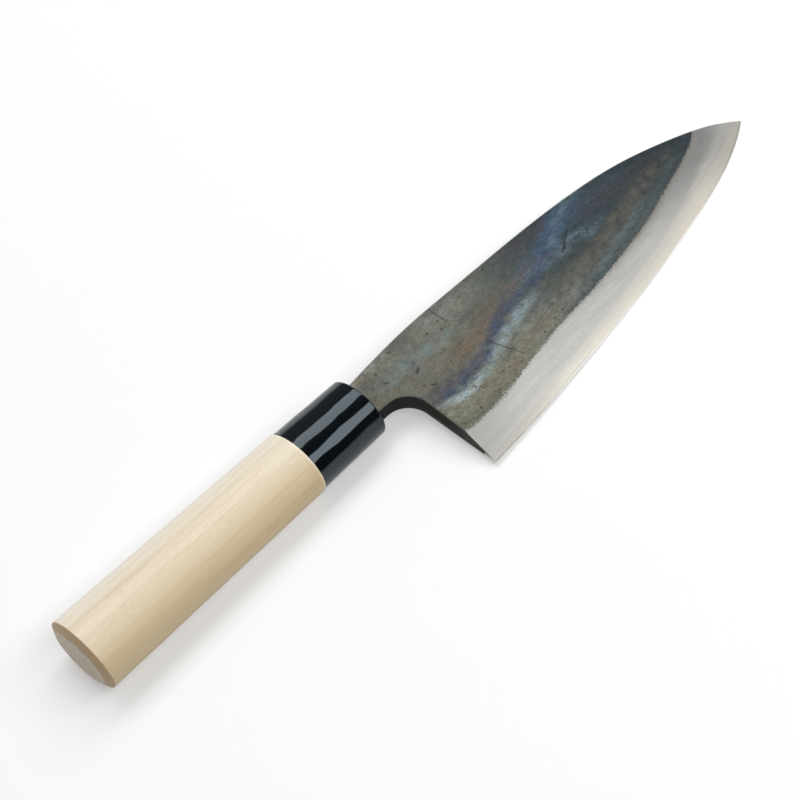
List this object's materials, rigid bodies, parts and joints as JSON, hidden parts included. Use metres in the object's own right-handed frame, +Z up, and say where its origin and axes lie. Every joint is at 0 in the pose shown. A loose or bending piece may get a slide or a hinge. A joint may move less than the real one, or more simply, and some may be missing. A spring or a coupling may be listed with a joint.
{
  "type": "deba knife",
  "caption": "Heavy single-bevel kitchen knife with a forge-dark laminated blade, an oval wooden handle and a black ferrule, lying on its back face.",
  "frame": {"origin": "centre of the bounding box on the table that the knife lies on; the table is the plane z = 0", "axes": "+X along the handle towards the tip, as seen from above; +Y towards the spine; +Z up, out of the bevelled face. The blade leans 5.2 degrees, because it rests on one point of its edge, a fifth of its length from the tip, and on the underside of the ferrule."},
  "size_m": [0.3234, 0.0604, 0.0237],
  "materials": {
    "iron": "dark forge scale with temper colours on the flat, ground satin on the bevel",
    "steel": "fine ground satin",
    "wood": "unvarnished, finely sanded",
    "black_plastic": "polished"
  },
  "bodies": {
    "root": {"blade_iron": "iron", "edge_steel": "steel", "handle_wood": "wood", "ferrule": "black_plastic"}
  },
  "joints": []
}
